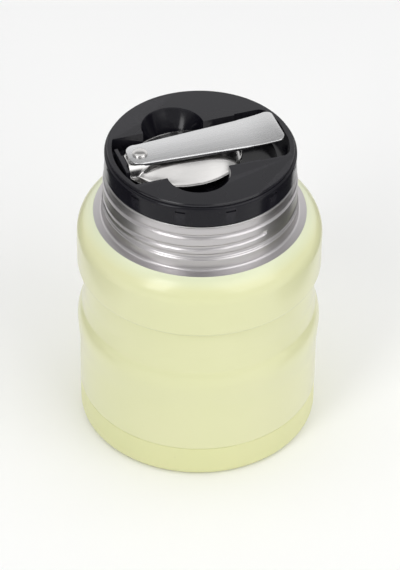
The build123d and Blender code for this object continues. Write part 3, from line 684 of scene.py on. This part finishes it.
def softened_copy(name, node, width, segments=3, angle=28.0):
    """Copy of a solid with its sharp edges rounded and its level faces shaded flat."""
    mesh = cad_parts[node].data.copy()
    shape = bmesh.new()
    shape.from_mesh(mesh)
    bmesh.ops.remove_doubles(shape, verts=shape.verts, dist=2e-6)
    bmesh.ops.dissolve_limit(
        shape, angle_limit=math.radians(0.6), verts=shape.verts, edges=shape.edges, delimit={"NORMAL"}
    )
    shape.to_mesh(mesh)
    shape.free()
    obj = new_object(name, mesh)
    for polygon in mesh.polygons:
        polygon.use_smooth = True
    bevel = obj.modifiers.new("round_edges", "BEVEL")
    bevel.width = width * MM
    bevel.segments = segments
    bevel.limit_method = "ANGLE"
    bevel.angle_limit = math.radians(angle)
    bevel.miter_outer = "MITER_ARC"
    baked(obj)
    own_normals = obj.data.attributes.get("custom_normal")
    if own_normals:
        obj.data.attributes.remove(own_normals)
    for vertex in obj.data.vertices:
        vertex.co.z = round(vertex.co.z / MM, 2) * MM
    for polygon in obj.data.polygons:
        polygon.use_smooth = abs(polygon.normal.z) < 0.9995
    obj.data.set_sharp_from_angle(angle=math.radians(40))
    return obj


# ---------------------------------------------------------------- jar


def body_outline():
    """Painted steel: foot, cuff, swelling, waist, rolled hem, shoulder and dome, then back inside."""
    points = [(foot_r, foot_z, 0.1), (foot_r, cuff_z, 0.15), (body_r, cuff_z, 0.3)]
    swell = 24
    for i in range(1, swell):
        t = i / swell
        points.append((body_r + CREST_OUT * t * t * (3 - 2 * t), swell_z + (crest_z - swell_z) * t))
    crest_r = body_r + CREST_OUT
    chord = math.hypot(FALL_IN, fall_z - crest_z)
    fall_r = chord * chord / (2 * FALL_IN)
    turn = 2 * math.degrees(math.asin(chord / (2 * fall_r)))
    points += arc((crest_r - fall_r, crest_z), fall_r, fall_r, 0, turn * 0.8, 12)
    points.append((waist_r + 0.55, fall_z + 0.6, 7.0))
    points.append((waist_r, waist_z + 1.0, 14.0))
    points += [(waist_r, hem_z, 0.5), (shoulder_r - HEM_R, hem_z)]
    points += arc((shoulder_r - HEM_R, hem_z + HEM_R), HEM_R, HEM_R, -80, 80, 8)
    sweep = math.degrees(math.acos((paint_r - shoulder_r + DOME_RX) / DOME_RX))
    dome_mid = (shoulder_r - DOME_RX, dome_z)
    points += arc(dome_mid, DOME_RX, DOME_RZ, 0, sweep, 28)
    edge_r, edge_z = points[-1]
    points[-1] = (edge_r + 0.05, edge_z - 0.02)
    points += [(edge_r, edge_z - PAINT_LIP, 0.03), (edge_r, edge_z - SHEET)]
    points += arc(dome_mid, DOME_RX - SHEET, DOME_RZ - SHEET, sweep - 3, 3 - sweep, 10)
    points += [(shoulder_r - SHEET, hem_z + HEM_R), (shoulder_r - HEM_R, hem_z + SHEET)]
    points += [(waist_r - SHEET, hem_z + SHEET), (waist_r - SHEET, waist_z)]
    points += [(crest_r - FALL_IN - SHEET, fall_z), (crest_r - SHEET, crest_z)]
    points += [(body_r - SHEET, swell_z), (body_r - SHEET, cuff_z + SHEET)]
    points += [(foot_r - SHEET, cuff_z + SHEET), (foot_r - SHEET, foot_z)]
    return eased(points)


def dip(radius, low, high, depth, steps=10):
    """Rounded ring groove in a wall, between two heights."""
    points = []
    for i in range(steps + 1):
        t = i / steps
        points.append((radius - depth * math.sin(math.pi * t) ** 0.8, low + (high - low) * t))
    return points


def neck_outline():
    """Bare steel: shelf beside the paint, root fillet, land, two ring grooves, screw band and collar."""
    edge_z = dome_z + DOME_RZ * math.sin(math.acos((paint_r - shoulder_r + DOME_RX) / DOME_RX))
    points = [(paint_r, edge_z - SHEET), (paint_r, edge_z - PAINT_LIP)]
    points += [(land_r + ROOT_R, shelf_z)]
    points += arc((land_r + ROOT_R, land_z), ROOT_R, ROOT_R, 265, -85, 10)
    points += [(land_r, land_top_z, 0.3), (band_r, land_top_z + 0.5, 0.3), (band_r, low_groove_z - 0.02)]
    points += dip(band_r, low_groove_z, band_z, LOW_GROOVE_DEEP)
    points += rows(band_r, band_z + 0.1, top_groove_z - 0.1, 0.13)
    groove = dip(band_r, top_groove_z, collar_z, TOP_GROOVE_DEEP, 14)
    points += [(r if i < 9 else min(r, collar_r), z) for i, (r, z) in enumerate(groove)]
    points += [(collar_r, collar_z + 0.1), (collar_r, neck_top_z, 0.1), (neck_in_r, neck_top_z)]
    points += [(neck_in_r, shelf_z - SHEET)]
    return eased(points)


def neck_shape(angle, r, z):
    """Radius of the neck with the screw groove cut in."""
    if r < band_r - LOW_GROOVE_DEEP - 0.05 or not low_groove_z < z < top_groove_z:
        return r
    along = angle - SCREW_START
    if along < 0:
        along += 360.0
    inside = 1.0
    if along > SCREW_SWEEP:
        beyond = min(along - SCREW_SWEEP, 360.0 - along) * math.radians(band_r)
        inside = max(0.0, 1 - (beyond / SCREW_TOOL_R) ** 2)
        along = SCREW_SWEEP if along - SCREW_SWEEP < 360.0 - along else 0.0
    off = z - (SCREW_START_Z + SCREW_LEAD * along / 360.0)
    reach = SCREW_TOOL_R**2 - off * off
    if reach <= 0 or inside <= 0:
        return r
    floor = band_r + SCREW_TOOL_R - SCREW_DEEP * math.sqrt(inside) - math.sqrt(reach)
    return min(r, floor)


def ridge(angle, z, start_z):
    """How far a screw ridge stands out of its wall at a place, from 0 to 1."""
    if angle > RIDGE_SWEEP:
        return 0.0
    off = abs(z - start_z - SCREW_LEAD * angle / 360.0)
    ends = min(1.0, angle / 6.0, (RIDGE_SWEEP - angle) / 6.0)
    return ends * min(1.0, max(0.0, (RIDGE_BASE / 2 - off) / ((RIDGE_BASE - RIDGE_TIP) / 2)))


plug_ridge_z = groove_top_z + 1.8
mouth_ridge_z = plug_ridge_z + SCREW_LEAD / 2
RIDGE_OUT = 1.3


def liner_outline():
    """Food space: floor, corner, wall, dome, throat, sealing cone, mouth and flat rim."""
    dome_w = liner_r - THROAT_R
    corner = 8.0
    points = [(0.0, liner_floor_z - LINER_T)]
    corner_mid = (liner_r - corner, liner_floor_z + corner)
    points += arc(corner_mid, corner + LINER_T, corner + LINER_T, -90, 90, 12)
    points += arc((THROAT_R, liner_dome_z), dome_w + LINER_T, LINER_DOME_H + LINER_T, 0, 86, 16)
    points += [(THROAT_R + LINER_T, throat_top_z + 0.3, 0.3)]
    points += [(mouth_r + LINER_T, mouth_foot_z + 0.3, 0.3)]
    points += [(mouth_r + LINER_T, rim_z - 0.55), (collar_r, rim_z - 0.55, 0.15), (collar_r, rim_z, 0.2)]
    points += [(mouth_r, rim_z, 0.35)]
    points += rows(mouth_r, rim_z - 1.0, mouth_foot_z + 0.3, 0.16)
    points += [(mouth_r, mouth_foot_z, 0.2), (THROAT_R, throat_top_z, 0.4)]
    points += arc((THROAT_R, liner_dome_z), dome_w, LINER_DOME_H, 90, -90, 20)
    points += arc(corner_mid, corner, corner, 0, -90, 16)
    points.append((0.0, liner_floor_z))
    return eased(points)


def liner_shape(angle, r, z):
    if abs(r - mouth_r) > 0.01 or not mouth_foot_z < z < rim_z - 0.9:
        return r
    return r - RIDGE_OUT * ridge(angle, z, mouth_ridge_z)


def base_outline():
    """Base cup: recessed underside, foot ring, rounded corner, side, and the ledge inside."""
    side_r = base_hi.x
    corner = 3.0
    ring_r = side_r - corner
    points = [(0.0, 0.8), (ring_r - 6.8, 0.8, 0.3), (ring_r - 6.0, 0.0, 0.3)]
    points += arc((ring_r, corner), corner, corner, -90, 90, 10)
    points += [(side_r, base_hi.z, 0.35), (foot_r + 0.2, base_hi.z, 0.2), (foot_r + 0.2, 4.2)]
    points += [(foot_r - 1.9, 4.2, 0.2), (foot_r - 1.9, 2.2), (0.0, 2.2)]
    return eased(points)


finish_piece(turned("painted_body", body_outline()), "jar", PAINT, ("outer_shell",))
finish_piece(
    turned("steel_neck", neck_outline(), facets=FINE_ROUND, shape=neck_shape),
    "jar", NECK_STEEL, ("outer_shell",),
)
finish_piece(
    turned("food_liner", liner_outline(), shape=liner_shape),
    "jar", LINER_STEEL, ("inner_liner",),
)
finish_piece(turned("base_shell", base_outline()), "jar", BASE_PLASTIC, ("base_cup",))


# ---------------------------------------------------------------- stopper


def plug_outline():
    """Stopper body: plug floor, flange, seal groove, screw wall, skirt, and its hollow."""
    points = [(0.0, plug_z), (PLUG_R - 1.0, plug_z, 0.9), (PLUG_R - 1.0, groove_z, 0.15)]
    points += [(groove_r, groove_z), (groove_r, groove_top_z), (PLUG_R, groove_top_z, 0.2)]
    points += rows(PLUG_R, groove_top_z + 0.4, skirt_z - 0.4, 0.16)
    points += [(PLUG_R, skirt_z), (skirt_r, skirt_z, 0.25)]
    points += [(skirt_r, window_z), (skirt_r, window_z + WINDOW_H)]
    points += arc((skirt_r - 0.9, skirt_top_z - 0.9), 0.9, 0.9, 0, 90, 6)
    points += [(skirt_in_r, skirt_top_z, 0.1), (skirt_in_r, window_z + WINDOW_H), (skirt_in_r, window_z)]
    points += [(skirt_in_r, skirt_z + SKIRT_FLOOR), (PLUG_IN_R, skirt_z + SKIRT_FLOOR)]
    points += [(PLUG_IN_R, plug_z + PLUG_FLOOR), (0.0, plug_z + PLUG_FLOOR)]
    return eased(points)


def plug_shape(angle, r, z):
    if abs(r - PLUG_R) > 0.01 or not groove_top_z + 0.3 < z < skirt_z - 0.3:
        return r
    return r + RIDGE_OUT * ridge(angle, z, plug_ridge_z)


def cut_windows(obj):
    """Opens the ring of snap windows through the skirt."""
    shape = bmesh.new()
    shape.from_mesh(obj.data)
    low, high = (window_z + 0.05) * MM, (window_z + WINDOW_H - 0.05) * MM
    wall_r = (skirt_in_r - 0.2) * MM
    for i in range(WINDOWS):
        turn = math.radians(WINDOW_TURN + 360.0 * i / WINDOWS)
        doomed = []
        for face in shape.faces:
            middle = face.calc_center_median()
            if not low < middle.z < high or math.hypot(middle.x, middle.y) < wall_r:
                continue
            off = (math.atan2(middle.y, middle.x) - turn + math.pi) % math.tau - math.pi
            if abs(off) < math.radians(WINDOW_HALF_SPAN):
                doomed.append(face)
        edges = dict.fromkeys(e for f in doomed for e in f.edges)
        rim = [e for e in edges if sum(f in doomed for f in e.link_faces) == 1]
        bmesh.ops.delete(shape, geom=doomed, context="FACES")
        bmesh.ops.bridge_loops(shape, edges=rim)
    bmesh.ops.recalc_face_normals(shape, faces=shape.faces)
    shape.to_mesh(obj.data)
    shape.free()
    smooth_piece(obj)
    return obj


def seal_outline():
    """Silicone ring with a rounded lip."""
    inner = groove_r + 0.05
    outer = seal_r - 0.1
    points = [(inner, seal_lo.z, 0.1), (outer, seal_lo.z, 0.55), (outer, seal_lo.z + 1.0, 0.2)]
    points += [(seal_r, seal_lo.z + 1.25, 0.2), (outer, seal_lo.z + 1.5, 0.2)]
    points += [(outer, seal_hi.z, 0.55), (inner, seal_hi.z, 0.1)]
    return eased(points)


finish_piece(
    cut_windows(turned("stopper_skirt", plug_outline(), facets=FINE_ROUND, shape=plug_shape)),
    "stopper", SKIRT_BLACK, ("stopper_body",),
)
finish_piece(
    softened_copy("stopper_deck", "stopper_top", 0.3),
    "stopper", DECK_BLACK, ("stopper_top",),
)


def dish(name, side):
    """Dished wall of a finger scoop: a thin shell over half a turn, upright at both its ends."""
    sections = []
    top = deck_hi.z - TONGUE_RISE - 0.03
    centre_y = side * SCOOP_Y
    for i in range(73):
        a = math.radians(180.0 * i / 72)
        ease = min(1.0, math.sin(a) / DISH_EASE)
        tilt = DISH_TILT * ease**2 * (3 - 2 * ease)
        profile = []
        for k in range(15):
            t = k / 14
            inward = tilt * DISH_FALL * t * (0.8 + 0.2 * t)
            profile.append((SCOOP_R - 0.02 - inward, top - DISH_FALL * t))
        low_r, low_z = profile[-1]
        profile += [(low_r + 0.02, low_z - 0.3), (SCOOP_R + 0.15, low_z - 0.3), (SCOOP_R + 0.15, top)]
        c, s = math.cos(a), side * math.sin(a)
        sections.append([(bowl_x + r * c, centre_y + r * s, z) for r, z in profile])
    return lofted(name, sections)


finish_piece(dish("rear_scoop_wall", 1), "stopper", DECK_BLACK)
finish_piece(dish("front_scoop_wall", -1), "stopper", DECK_BLACK)
finish_piece(turned("sealing_ring", seal_outline()), "seal", SILICONE, ("stopper_seal",))


# ---------------------------------------------------------------- folding spoon


def bowl_half_at(x):
    """Half the width of the bowl's oval rim."""
    t = min(1.0, abs(x - bowl_x) / BOWL_HALF_L)
    return BOWL_HALF_W * math.sqrt(max(0.0, 1 - t * t))


def dome_z_at(x, y):
    """Height of the bowl's back: a full ridge along, a flat arch across."""
    t = min(1.0, abs(x - bowl_x) / BOWL_HALF_L)
    half = bowl_half_at(x)
    if half <= abs(y):
        return bowl_rim_z
    return bowl_rim_z + BOWL_DEEP * (1 - t**RIDGE_FULL) ** RIDGE_END * (1 - (y / half) ** 2)


def upper(a, b, soft):
    """Larger of two values, with a soft change from one to the other."""
    return (a + b + math.sqrt((a - b) ** 2 + soft * soft)) / 2


def rim_half_width(x):
    """Half the width of the pressed sheet: the bowl's rim, or the shoulders beside the neck."""
    t = min(1.0, (x - neck_tip_x) / EAR_L)
    shoulder = NECK_TIP_W + (EAR_W - NECK_TIP_W) * t * (2 - t)
    blend = EAR_BLEND * min(1.0, max(0.0, (bowl_x - EAR_REACH - x) / EAR_FADE))
    if blend <= 0:
        return bowl_half_at(x)
    return upper(bowl_half_at(x), shoulder, blend)


def back_z(x, y):
    """Height of the sheet's upper side: bowl, and the neck that runs out into it."""
    lip = bowl_rim_z + RIM_EDGE
    height = upper(dome_z_at(x, y), lip, LIP_SOFT)
    if x < bowl_x:
        taper_x = neck_tip_x + NECK_L
        flat = NECK_FLAT + (NECK_END_FLAT - NECK_FLAT) * max(0.0, (x - taper_x) / (bowl_x - taper_x))
        reach = max(NECK_MIN_FALL, min(rim_half_width(x), flat + NECK_FALL) - flat)
        t = min(1.0, max(0.0, (abs(y) - flat) / reach))
        neck = lip + (neck_top - lip) * (1 - t * t)
        height = min(neck_top, upper(height, neck, NECK_SOFT))
    return height


def spoon_section(x):
    """Closed section of the sheet across the spoon: its back, the rounded rim and the hollow side."""
    rim_w = rim_half_width(x)
    edge = min(0.14, rim_w * 0.1)
    half = [((rim_w - edge) * i / 44, back_z(x, (rim_w - edge) * i / 44)) for i in range(45)]
    lip_z = half[-1][1]
    under = max(bowl_rim_z, lip_z - SPOON_T)
    half += [(rim_w - edge * 0.3, lip_z - 0.05), (rim_w, lip_z - 0.15), (rim_w, under + 0.12)]
    half += [(rim_w - edge * 0.3, under + 0.03)]
    for i in range(24):
        y = (rim_w - edge) * (1 - i / 23)
        half.append((y, max(bowl_rim_z, back_z(x, y) - SPOON_T)))
    left = [(-y, z) for y, z in reversed(half[1:-1])]
    return [(x, y, z) for y, z in half + left]


def spoon_stations():
    """Places along the spoon where a section is taken."""
    start, end = neck_tip_x, bowl_x - EAR_REACH
    xs = [start + (end - start) * i / 48 for i in range(49)]
    first = math.asin((end - bowl_x) / BOWL_HALF_L)  # from here on the places follow the oval
    last = math.radians(89.3)
    xs += [bowl_x + BOWL_HALF_L * math.sin(first + (last - first) * i / 72) for i in range(1, 73)]
    return xs


def handle_section(x):
    """Pressed channel: flat web with flanges turned down, plate only at both ends."""
    length = handle_hi.x - handle_lo.x
    half = HANDLE_W0 + (handle_w1 - HANDLE_W0) * (x - handle_lo.x) / length
    width = half
    from_left, from_right = x - handle_lo.x, handle_hi.x - x
    for gap, corner in ((from_left, HANDLE_CORNER_PIVOT), (from_right, HANDLE_CORNER_END)):
        if gap < corner:
            width = half - corner + math.sqrt(max(0.0, corner**2 - (corner - gap) ** 2))
    lift = max(0.0, (x - flange_x1) / (handle_hi.x - flange_x1)) ** 2 * TAB_LIFT
    top = web_top_z + lift
    under = top - SPOON_T
    starts = max(0.0, (x - flange_x0 + 0.6) / 1.8)
    ends = max(0.0, (flange_x1 - x + 0.8) / 2.4)
    rise = min(1.0, starts, ends)
    drop = 0.03 + (FLANGE_H - 0.03) * rise * rise * (3 - 2 * rise)
    bend = 0.25 + 0.35 * drop / FLANGE_H
    side = []
    for i in range(7):
        a = math.radians(90 - 15 * i)
        side.append((x, width - bend + bend * math.cos(a), top - bend + bend * math.sin(a)))
    foot = under - drop
    side += [(x, width, foot + 0.12), (x, width - 0.12, foot)]
    inner = width - SPOON_T
    side += [(x, inner + 0.12, foot), (x, inner, foot + 0.02 + 0.1 * drop / FLANGE_H)]
    side += [(x, inner - 0.03, under - 0.012), (x, inner - 0.2, under)]
    other = [(x, -y, z) for x, y, z in reversed(side)]
    return side + other


def handle_stations():
    """Places along the handle where a section is taken, closer together round the corners."""
    turns = [math.pi / 2 * i / 9 for i in range(10)]
    xs = [handle_lo.x + HANDLE_CORNER_PIVOT * (1 - math.cos(t)) for t in turns]
    first = xs[-1]
    last = handle_hi.x - HANDLE_CORNER_END
    xs += [first + (last - first) * i / 90 for i in range(1, 91)]
    xs += [handle_hi.x - HANDLE_CORNER_END * (1 - math.sin(t)) for t in turns[1:]]
    return xs


def rivet_outline():
    """Polished dome above, shank, and the flat set head below."""
    dome_z0 = rivet_hi.z - RIVET_DOME
    head_z = dome_z0 - RIVET_EDGE
    tail_z = rivet_lo.z
    tail_top = tail_z + RIVET_TAIL
    points = [(0.0, tail_z), (RIVET_TAIL_R, tail_z, 0.25), (RIVET_TAIL_R, tail_top, 0.1)]
    points += [(RIVET_R, tail_top), (RIVET_R, head_z), (RIVET_HEAD_R, head_z), (RIVET_HEAD_R, dome_z0)]
    for i in range(1, 12):
        a = math.radians(90 * i / 12)
        points.append((RIVET_HEAD_R * math.cos(a) ** 0.85, dome_z0 + RIVET_DOME * math.sin(a)))
    points.append((0.0, rivet_hi.z))
    return eased(points)


def boss_outline():
    """Low ring between the neck and the handle."""
    inner, low, top = RIVET_R + 0.05, neck_top - 0.1, neck_top + BOSS_H
    return eased([(inner, low), (BOSS_R, low), (BOSS_R, top, 0.2), (inner, top, 0.1)])


finish_piece(
    lofted("spoon_scoop", [spoon_section(x) for x in spoon_stations()]),
    "spoon", SPOON_STEEL, ("spoon_bowl",),
)
finish_piece(
    lofted("folding_handle", [handle_section(x) for x in handle_stations()]),
    "handle", HANDLE_STEEL, ("spoon_handle",),
)
pivot = (pivot_x, 0.0)
finish_piece(
    turned("pivot_rivet", rivet_outline(), pivot, SMALL_ROUND),
    "spoon", SPOON_STEEL, ("spoon_rivet",),
)
finish_piece(
    turned("pivot_boss", boss_outline(), pivot, SMALL_ROUND), "spoon", HANDLE_STEEL
)

# inner pieces keep their solids' shapes
for node, material in (
    ("outer_bottom", BOTTOM_STEEL),
    ("vacuum_seal", BRAZE),
    ("getter", BRAZE),
    ("getter_clip", BOTTOM_STEEL),
    ("radiation_foil", COPPER),
    ("stopper_foam", FOAM),
):
    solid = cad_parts[node]
    solid.data.materials.clear()
    solid.data.materials.append(material)

# ---------------------------------------------------------------- floor, light and camera


def floor_material():
    f = Finish("pale_floor", Metallic=0.0, Specular_IOR_Level=0.25)
    cloud = noise_of(f.tree, f.place, 6.0, 2.0)
    f.feed("Base Color", f.blend(cloud, (0.945, 0.945, 0.945), (0.96, 0.96, 0.96)))
    f.feed("Roughness", f.ramp(cloud, 0.3, 0.7, 0.42, 0.48))
    return f.material


def flat_sheet(name, half_w, half_h, material):
    """Flat rectangle about its own origin."""
    corners = [(-half_w, -half_h, 0), (half_w, -half_h, 0), (half_w, half_h, 0), (-half_w, half_h, 0)]
    mesh = bpy.data.meshes.new(name)
    mesh.from_pydata(corners, [], [(0, 1, 2, 3)])
    mesh.materials.append(material)
    obj = new_object(name, mesh)
    return obj


# lengths from here on are in metres
AZIMUTH, PITCH, ROLL = -19.5, 39.67, 0.79  # of the camera, in degrees
DISTANCE = 1.300
FLOOR = 6.0
flat_sheet("studio_floor", FLOOR, FLOOR, floor_material())


def softbox(name, place, size, power, aim=(0.0, 0.0, 0.07)):
    """Rectangular light that points at the aim and that the camera doesn't see."""
    light = bpy.data.lights.new(name, "AREA")
    light.shape = "RECTANGLE"
    light.size, light.size_y = size
    light.energy = power
    obj = new_object(name, light)
    obj.location = place
    obj.rotation_euler = (Vector(aim) - Vector(place)).to_track_quat("-Z", "Y").to_euler()
    obj.visible_camera = False


softbox("key_left", (-1.10, -0.70, 1.05), (0.5, 1.3), 8.0)
softbox("key_right", (0.66, -1.12, 1.05), (1.3, 1.4), 9.5)
softbox("top", (0.05, 0.16, 1.9), (3.0, 0.9), 9.5)


def card_black():
    f = Finish("flag_black", Roughness=1.0)
    cloud = noise_of(f.tree, f.place, 3.0, 2.0)
    f.feed("Base Color", f.blend(cloud, (0.02, 0.02, 0.02), (0.03, 0.03, 0.03)))
    return f.material


# Black cards on the floor that only reflections see. They draw the dark streaks down the steel.
card_turn = Matrix.Rotation(math.radians(AZIMUTH), 3, "Z")
CARD_BLACK = card_black()
CARD_W, CARD_H, CARD_OUT, CARD_BACK, CARD_Z = 0.68, 0.72, 0.46, 0.30, 0.003
for card_name, card_side in (("card_left", -1), ("card_right", 1)):
    card = flat_sheet(card_name, CARD_W / 2, CARD_H / 2, CARD_BLACK)
    card.location = card_turn @ Vector((card_side * CARD_OUT, CARD_BACK, CARD_Z))
    card.rotation_euler = (0.0, 0.0, math.radians(AZIMUTH))
    card.visible_camera = card.visible_diffuse = card.visible_shadow = card.visible_transmission = False

# White surroundings: brighter behind the part than beside it, and dimmer overhead.
FRONT_GLOW, REAR_GLOW = 0.46, 1.15
REAR_TOP_GLOW, FRONT_TOP_GLOW = 0.22, 0.30
world = bpy.data.worlds.new("white_studio")
bpy.context.scene.world = world
world.use_nodes = True
sky = world.node_tree
backdrop = sky.nodes["Background"]
direction = sky.nodes.new("ShaderNodeTexCoord").outputs["Generated"]
height = parts_of(sky, direction)[2]
azimuth, pitch = math.radians(AZIMUTH), math.radians(PITCH)
rearward = vector_maths(sky, "DOT_PRODUCT", direction, (-math.sin(azimuth), math.cos(azimuth), 0.0))
behind = remap(sky, rearward, 0.25, 0.65, 0.0, 1.0)
glow = remap(sky, behind, 0.0, 1.0, FRONT_GLOW, REAR_GLOW)
rear_top = remap(sky, height, 0.585, 0.72, 1.0, REAR_TOP_GLOW)
front_top = remap(sky, height, 0.90, 0.97, 1.0, FRONT_TOP_GLOW)
fade = maths(sky, "MULTIPLY", remap(sky, behind, 0.0, 1.0, 1.0, rear_top), front_top)
link(sky, maths(sky, "MULTIPLY", glow, fade), backdrop.inputs["Strength"])
backdrop.inputs["Color"].default_value = (1.0, 1.0, 1.0, 1.0)

camera_data = bpy.data.cameras.new("camera")
camera = new_object("camera", camera_data)
bpy.context.scene.camera = camera
camera_data.sensor_width = 36.0
camera_data.lens = 212.6
camera_data.clip_start, camera_data.clip_end = 0.05, 30.0
camera_data.shift_x, camera_data.shift_y = 0.0018, -0.0182
target = Vector((0.0, 0.0, 0.063))
level = math.cos(pitch)
back = Vector((math.sin(azimuth) * level, -math.cos(azimuth) * level, math.sin(pitch)))
camera.location = target + back * DISTANCE
aimed = (-back).to_track_quat("-Z", "Y").to_matrix().to_4x4()
camera.rotation_euler = (aimed @ Matrix.Rotation(math.radians(ROLL), 4, "Z")).to_euler()

bpy.context.scene.view_settings.view_transform = "Standard"
